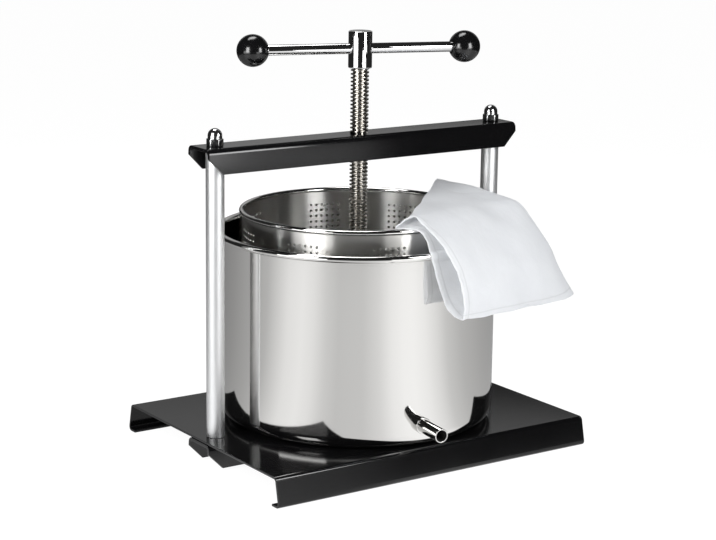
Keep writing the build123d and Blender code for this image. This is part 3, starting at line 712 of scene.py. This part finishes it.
def makeBasket():
    low, high = boxOf("basket_wall")
    rimHigh = boxOf("basket_rim")[1]
    strips = basket["strips"]
    halfStrip = pi / strips
    radius = high.x / cos(halfStrip)
    stripWidth = 2 * high.x * tan(halfStrip)
    drainLevel = boxOf("basket_floor")[1].z + basket["drainRise"]
    topRow = rimHigh.z - basket["firstRow"] + basket["rowStep"] / 2
    rows = [topRow - row * basket["rowStep"] for row in range(basket["rows"], -1, -1)]
    levels = [low.z, drainLevel - stripWidth / 2, drainLevel + stripWidth / 2, *rows, high.z]
    bm = bmesh.new()
    corner = Vector((radius * cos(halfStrip), -radius * sin(halfStrip), 0))
    drawWire(bm, [(corner.x * mm, corner.y * mm, z * mm) for z in levels], {})
    bmesh.ops.spin(bm, geom=bm.verts[:] + bm.edges[:], cent=(0, 0, 0), axis=(0, 0, 1), dvec=(0, 0, 0),
                   angle=2 * pi, steps=strips, use_merge=True)
    bmesh.ops.recalc_face_normals(bm, faces=bm.faces[:])
    punched = {(run + patch * basket["patchStep"] + column) % strips for run in basket["runs"]
               for patch in range(basket["patches"]) for column in range(basket["columns"])}
    patchCells, drainCells = [], []
    for face in bm.faces:
        middle = face.calc_center_median() / mm
        strip = round(atan2(middle.y, middle.x) / (2 * halfStrip)) % strips
        if rows[0] < middle.z < rows[-1] and strip in punched:
            patchCells.append(face)
        if abs(middle.z - drainLevel) < stripWidth / 2 and strip % basket["drainStep"] == 0:
            drainCells.append(face)
    punchCells(bm, patchCells, (basket["rowStep"] - basket["hole"]) / 2, basket["hole"])
    punchCells(bm, drainCells, (stripWidth - basket["drain"]) / 2, basket["drain"])
    bmesh.ops.solidify(bm, geom=bm.faces[:], thickness=basket["wall"] * mm)
    addPiece("basketWall", bm, basketSteel, "basket", ["basket_wall"],
             sharpAngle=40)

    bead = basket["bead"] / 2
    bm = bmesh.new()
    place = Matrix.Translation(Vector((rimHigh.x - bead, 0, rimHigh.z - bead)) * mm)
    bmesh.ops.create_circle(bm, segments=basket["beadSteps"], radius=bead * mm,
                            matrix=place @ Matrix.Rotation(pi / 2, 4, "X"))
    bmesh.ops.spin(bm, geom=bm.verts[:] + bm.edges[:], cent=(0, 0, 0), axis=(0, 0, 1), dvec=(0, 0, 0),
                   angle=2 * pi, steps=basket["rimSteps"], use_merge=True)
    bmesh.ops.remove_doubles(bm, verts=bm.verts[:], dist=weld)
    bmesh.ops.recalc_face_normals(bm, faces=bm.faces[:])
    addPiece("basketRim", bm, potSteel, "basket", ["basket_rim"],
             sharpAngle=60)


makePressHead()
makePot()
makeBasket()
print("press head, pot with spout, basket")


# press bag: two layers sewn at the edge, the hem and the right side, open at the left.
# Columns run from the mouth to the right seam, stations from the inner edge over the rims to the hem.
bag = {"flatWidth": 160, "flatLength": 280, "cloth": 0.6, "levels": 4, "rimGap": 0.9, "hem": 7,
       "foldStation": 2, "foldCrease": 0.3, "wave": 2.4, "waveSize": 30, "pucker": 1.4, "puckerSize": 8}
bagUpper = [
    [(-29, -99, 215.6), (-18, -96, 220), (-8, -93, 224.6), (-8, -115, 217.5),
     (-6.5, -143, 199), (-2, -157.5, 178), (-1, -159.5, 156), (0, -157, 144.5)],
    [(4.6, -76, 220.7), (10, -82, 222.8), (22, -89, 224.4), (24, -110, 218.5),
     (27, -137, 200), (31, -152, 178), (34, -153.5, 157), (36, -152, 143.5)],
    [(38, -44, 223.5), (45, -62, 224.2), (54, -86, 224.8), (58, -106, 219),
     (62, -130, 201), (67, -146, 178), (71, -149.5, 157), (73, -148, 143.5)],
    [(72, -12, 226.7), (80, -42, 227), (90, -80, 225.5), (96, -98, 219),
     (104, -119, 200), (112, -137, 177), (119, -143, 157), (122, -143.5, 143.5)],
    [(101, 18, 229), (108.5, -36.6, 228), (117, -80.7, 222.8), (121.5, -90, 214.2),
     (130.2, -104.2, 191.6), (136.5, -110.5, 175), (142.9, -116.3, 158), (149, -124.3, 143)],
]
bagLower = [
    [(-19, -104, 215), (-7.8, -112.4, 211.5), (-15, -130.4, 195.3), (-7.3, -131, 168),
     (-4.6, -136.5, 156.5), (-2.4, -144, 145.3)],
    [(10, -84, 219.5), (20, -108, 214.9), (25, -129.5, 197), (28, -132, 172),
     (32, -137, 158), (35, -144, 148)],
    [(46, -66, 221), (55, -96, 216), (60, -122, 199), (64, -127, 176),
     (68, -133, 160), (71, -140, 149)],
    [(81, -44, 224.8), (91, -80, 221), (98, -100, 212), (106, -117, 194),
     (113, -131, 174), (119, -139.5, 155)],
]


def pushOffRims(co):
    # a cloth point inside a rolled rim moves out to its surface
    for node, bead in (("basket_rim", basket["bead"]), ("juice_pot", pot["bead"])):
        high = boxOf(node)[1]
        across = Vector((co.x, co.y, 0))
        middle = across.normalized() * (high.x - bead / 2)
        middle.z = high.z - bead / 2
        away = co - middle
        least = bead / 2 + bag["rimGap"] + bag["cloth"] / 2
        if away.length < least:
            co = middle + away.normalized() * least
    return co


def ruffle(bm):
    # slow waves all over the cloth and small puckers along the hem of the mouth
    bm.normal_update()
    edge = [vert for vert in bm.verts if vert.is_boundary]
    tree = kdtree.KDTree(len(edge))
    for index, vert in enumerate(edge):
        tree.insert(vert.co, index)
    tree.balance()
    for vert in bm.verts:
        place = vert.co / mm
        inHem = max(0, 1 - tree.find(vert.co)[2] / (2 * bag["hem"] * mm))
        rise = bag["wave"] * noise.noise(place / bag["waveSize"])
        rise += bag["pucker"] * inHem * noise.noise(place / bag["puckerSize"])
        vert.co += vert.normal * rise * mm


def makeBag():
    columns = len(bagUpper)
    stations = len(bagUpper[0])
    bm = bmesh.new()
    bm.loops.layers.uv.new("clothMap")
    cornerCrease = bm.verts.layers.float.new("crease_vert")
    seamCrease = bm.edges.layers.float.new("crease_edge")
    for layer in (0, 1):
        sheet = bmesh.ops.create_grid(bm, x_segments=columns - 1, y_segments=stations - 1, size=1,
                                      calc_uvs=True)["verts"]
        cells = {}
        for index, vert in enumerate(sheet):
            column, station = index % columns, index // columns
            cells[vert] = (column, station)
            point = bagUpper[column][station]
            if layer and column < columns - 1 and 0 < station < stations - 1:
                point = bagLower[column][station - 1]
            vert.co = Vector(point) * mm
            vert[cornerCrease] = float(column in (0, columns - 1) and station in (0, stations - 1))
        for edge in {edge for vert in sheet for edge in vert.link_edges}:
            (column, station), (otherColumn, otherStation) = (cells[vert] for vert in edge.verts)
            sewn = column == otherColumn == columns - 1
            sewn = sewn or station == otherStation and station in (0, stations - 1)
            folded = not layer and station == otherStation == bag["foldStation"]
            edge[seamCrease] = 1.0 if sewn else bag["foldCrease"] if folded else 0.0
    bmesh.ops.remove_doubles(bm, verts=bm.verts[:], dist=0.01 * mm)
    bmesh.ops.recalc_face_normals(bm, faces=bm.faces[:])
    cage = bpy.data.meshes.new("bagCage")
    bm.to_mesh(cage)
    bm.free()
    draft = bpy.data.objects.new("bagDraft", cage)
    bpy.context.scene.collection.objects.link(draft)
    smooth = draft.modifiers.new("smooth", "SUBSURF")
    smooth.levels = smooth.render_levels = bag["levels"]
    smooth.boundary_smooth = "PRESERVE_CORNERS"
    bpy.context.view_layer.update()
    finished = bpy.data.meshes.new_from_object(draft.evaluated_get(bpy.context.evaluated_depsgraph_get()))
    bpy.data.objects.remove(draft)
    bpy.data.meshes.remove(cage)
    bm = bmesh.new()
    bm.from_mesh(finished)
    bpy.data.meshes.remove(finished)
    ruffle(bm)
    for vert in bm.verts:
        vert.co = pushOffRims(vert.co / mm) * mm
    bm.normal_update()
    area = sum(face.calc_area() for face in bm.faces)
    cloth = makePressCloth(bag["flatWidth"], bag["flatLength"] / 2, bag["hem"])
    piece = addPiece("pressBag", bm, cloth, "bag", ["filter_bag"], sharpAngle=80)
    shell = piece.modifiers.new("clothThickness", "SOLIDIFY")
    shell.thickness = bag["cloth"] * mm
    shell.offset = 0
    print("bag cloth area:", round(area * 1e6), "square mm")


makeBag()
print("press bag")


# finishes of the pieces that stay as they are in the frame
finishes = {"left_tie_rod": zincSteel, "right_tie_rod": zincSteel, "base_washers": zincSteel,
            "base_nuts": zincSteel, "spindle_nut": turnedSteel, "thrust_washer": bronze,
            "retaining_screws": zincSteel, "hub_pin": zincSteel, "basket_floor": basketSteel}
for node, finish in finishes.items():
    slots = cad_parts[node].material_slots
    for slot in slots:
        slot.material = finish
print("finishes on", len(finishes), "frame nodes")


# studio: white floor and background, softboxes for the light, and screens that only reflections see.
# Azimuth runs from the front (0) over the right (90) round to the left (270).
studio = {"floor": 24.0, "white": 1.0, "floorWhite": 1.1, "paper": 0.9, "shadowShare": 0.14,
          "ambient": 0.3, "screenSteps": 72, "aimHeight": 0.2}
camera = {"place": (-986.7, -1433.6, 548.5), "azimuth": -34.56, "elevation": 12.67, "roll": 0.776,
          "focalPixels": 1983.32, "imageWidth": 716, "sensor": 36, "farClip": 100}
softboxes = {
    "leftBox": {"azimuth": -76, "elevation": 20, "distance": 1.35, "size": (0.9, 1.1), "watts": 20},
    "rightBox": {"azimuth": 15, "elevation": 20, "distance": 1.35, "size": (0.9, 1.1), "watts": 12.6},
    "topBox": {"azimuth": 145, "elevation": 73, "distance": 1.5, "size": (0.8, 0.6), "watts": 3.8},
    "backBox": {"azimuth": 145, "elevation": 25, "distance": 1.45, "size": (0.9, 0.9), "watts": 3},
}
# each screen is a line of radius and height in metres, spun through the azimuths of its tones
screens = {
    "nearFloor": {"line": [(0.14, 0.0005), (1.05, 0.0005)],
                  "tones": [(0, 1.18), (8, 1.2), (18, 1.12), (29, 0.94), (38, 0.75), (54, 0.6), (80, 0.48),
                            (110, 0.38), (150, 0.26), (180, 0.26), (210, 0.36), (235, 0.48), (252, 0.6),
                            (263, 0.82), (272, 1.0), (284, 1.08), (293, 1.0), (303, 0.8), (312, 0.71),
                            (330, 0.74), (342, 0.89), (351, 1.09), (360, 1.18)]},
    "farFloor": {"line": [(1.05, 0.0005), (1.7, 0.0005)], "tones": [(0, 0.02), (360, 0.02)]},
    "farWall": {"line": [(1.7, 0), (1.7, 2.4), (0.01, 2.4)], "tones": [(0, 0.02), (360, 0.02)]},
    "leftLow": {"line": [(1.4, 0), (1.4, 0.35)], "tones": [(263, 3.2), (303, 3.2)]},
    "leftTall": {"line": [(0.5, 0.3), (0.5, 0.56)], "tones": [(277, 11), (295, 11)]},
    "rightLow": {"line": [(1.4, 0), (1.4, 0.2)], "tones": [(-9, 3.2), (18, 3.2)]},
    "rightMiddle": {"line": [(1.4, 0.2), (1.4, 0.35)], "tones": [(9, 3.2), (25, 3.2)]},
    "flangeCard": {"line": [(1.4, 0), (1.4, 0.12)], "tones": [(18, 0.8), (24, 0.6), (31, 0.02)]},
    "rightTall": {"line": [(0.5, 0.3), (0.5, 0.56)], "tones": [(7, 11), (25, 11)]},
    "beamCard": {"line": [(1.4, 0.17), (1.4, 0.26)], "tones": [(25, 1.1), (34, 1.1)]},
    "topCard": {"line": [(0.12, 1.7), (0.7, 1.7)], "tones": [(122, 7), (232, 7)]},
    "backLow": {"line": [(1.6, 0.2), (1.6, 0.5)], "tones": [(142, 0.02), (149, 0.24), (170, 0.24)]},
    "backCard": {"line": [(1.6, 0.5), (1.6, 1.2)],
                 "tones": [(105, 0.1), (125, 0.4), (165, 0.4), (190, 0.1)]},
}


def aimedAt(target, azimuth, elevation, distance):
    # place on a sphere round the target, looking at it; azimuth 0 is the front
    a, e = radians(azimuth), radians(elevation)
    away = Vector((sin(a) * cos(e), -cos(a) * cos(e), sin(e)))
    return Matrix.Translation(target + away * distance) @ away.to_track_quat("Z", "Y").to_matrix().to_4x4()


def seenDirectly(tree):
    # 1 for camera, glossy and transmission rays, so that the white shows in metal too
    rays = addNode(tree, "ShaderNodeLightPath")
    seen = addNode(tree, "ShaderNodeMath", {"operation": "MAXIMUM"},
                   {0: rays.outputs["Is Camera Ray"], 1: rays.outputs["Is Glossy Ray"]})
    return addNode(tree, "ShaderNodeMath", {"operation": "MAXIMUM"},
                   {0: seen.outputs[0], 1: rays.outputs["Is Transmission Ray"]}).outputs[0]


def addStage(name, bm, material):
    mesh = bpy.data.meshes.new(name)
    bm.to_mesh(mesh)
    bm.free()
    mesh.materials.append(material)
    prop = bpy.data.objects.new(name, mesh)
    bpy.context.scene.collection.objects.link(prop)
    return prop


def makeFloor():
    material, tree = newMaterial("whiteFloor")
    share = addNode(tree, "ShaderNodeMath", {"operation": "MULTIPLY", 1: 1 - studio["shadowShare"]},
                    {0: seenDirectly(tree)})
    paper = addNode(tree, "ShaderNodeBsdfDiffuse", {"Color": (*[studio["paper"]] * 3, 1)})
    glow = addNode(tree, "ShaderNodeEmission", {"Color": (1, 1, 1, 1), "Strength": studio["floorWhite"]})
    mixed = addNode(tree, "ShaderNodeMixShader",
                    links={0: share.outputs[0], 1: paper.outputs[0], 2: glow.outputs[0]})
    addNode(tree, "ShaderNodeOutputMaterial", links={"Surface": mixed.outputs[0]})
    bm = bmesh.new()
    bmesh.ops.create_grid(bm, x_segments=1, y_segments=1, size=studio["floor"] / 2)
    addStage("floor", bm, material)


def addScreen(name, line, tones):
    # glowing screen with a tone by azimuth round Z, seen by reflections alone
    material, tree = newMaterial(name)
    place = addNode(tree, "ShaderNodeTexCoord").outputs["Object"]
    parts = addNode(tree, "ShaderNodeSeparateXYZ", links={"Vector": place})
    back = addNode(tree, "ShaderNodeMath", {"operation": "MULTIPLY", 1: -1.0}, {0: parts.outputs["X"]})
    turn = addNode(tree, "ShaderNodeMath", {"operation": "ARCTAN2"},
                   {0: back.outputs[0], 1: parts.outputs["Y"]})
    share = addNode(tree, "ShaderNodeMapRange", {"From Min": -pi, "From Max": pi},
                    {"Value": turn.outputs[0]})
    ramp = addNode(tree, "ShaderNodeValToRGB", links={"Fac": share.outputs[0]})
    stops = ramp.color_ramp.elements
    while len(stops) < len(tones):
        stops.new(0.5)
    for stop, (azimuth, tone) in zip(stops, tones):
        stop.position = azimuth / 360
        stop.color = (tone, tone, tone, 1)
    glow = addNode(tree, "ShaderNodeEmission", links={"Color": ramp.outputs["Color"]})
    addNode(tree, "ShaderNodeOutputMaterial", links={"Surface": glow.outputs[0]})
    bm = bmesh.new()
    first, last = radians(tones[0][0]), radians(tones[-1][0])
    drawWire(bm, [(radius * sin(first), -radius * cos(first), height) for radius, height in line], {})
    bmesh.ops.spin(bm, geom=bm.verts[:] + bm.edges[:], cent=(0, 0, 0), axis=(0, 0, 1), dvec=(0, 0, 0),
                   angle=last - first, steps=studio["screenSteps"], use_merge=False)
    screen = addStage(name, bm, material)
    screen.visible_camera = screen.visible_diffuse = screen.visible_shadow = False
    screen.visible_transmission = screen.visible_volume_scatter = False


def makeWorld():
    world = bpy.data.worlds.new("studioWorld")
    bpy.context.scene.world = world
    world.use_nodes = True
    tree = world.node_tree
    tree.nodes.clear()
    ambient = addNode(tree, "ShaderNodeBackground", {"Color": (1, 1, 1, 1), "Strength": studio["ambient"]})
    white = addNode(tree, "ShaderNodeBackground", {"Color": (1, 1, 1, 1), "Strength": studio["white"]})
    mixed = addNode(tree, "ShaderNodeMixShader",
                    links={0: seenDirectly(tree), 1: ambient.outputs[0], 2: white.outputs[0]})
    addNode(tree, "ShaderNodeOutputWorld", links={"Surface": mixed.outputs[0]})


def makeLights():
    target = Vector((0, 0, studio["aimHeight"]))
    for name, box in softboxes.items():
        lamp = bpy.data.lights.new(name, "AREA")
        lamp.shape = "RECTANGLE"
        lamp.size, lamp.size_y = box["size"]
        lamp.energy = box["watts"]
        light = bpy.data.objects.new(name, lamp)
        bpy.context.scene.collection.objects.link(light)
        light.matrix_world = aimedAt(target, box["azimuth"], box["elevation"], box["distance"])
        light.visible_glossy = False


def makeCamera():
    lens = bpy.data.cameras.new("camera")
    lens.sensor_fit = "HORIZONTAL"
    lens.sensor_width = camera["sensor"]
    lens.lens = camera["focalPixels"] / camera["imageWidth"] * lens.sensor_width
    lens.clip_end = camera["farClip"]
    eye = bpy.data.objects.new("camera", lens)
    bpy.context.scene.collection.objects.link(eye)
    eye.matrix_world = (Matrix.Translation(Vector(camera["place"]) * mm)
                        @ Matrix.Rotation(radians(camera["azimuth"]), 4, "Z")
                        @ Matrix.Rotation(radians(90 - camera["elevation"]), 4, "X")
                        @ Matrix.Rotation(radians(camera["roll"]), 4, "Z"))
    bpy.context.scene.camera = eye


makeFloor()
for name, screen in screens.items():
    addScreen(name, screen["line"], screen["tones"])
makeWorld()
makeLights()
makeCamera()
print("stage, light and camera")
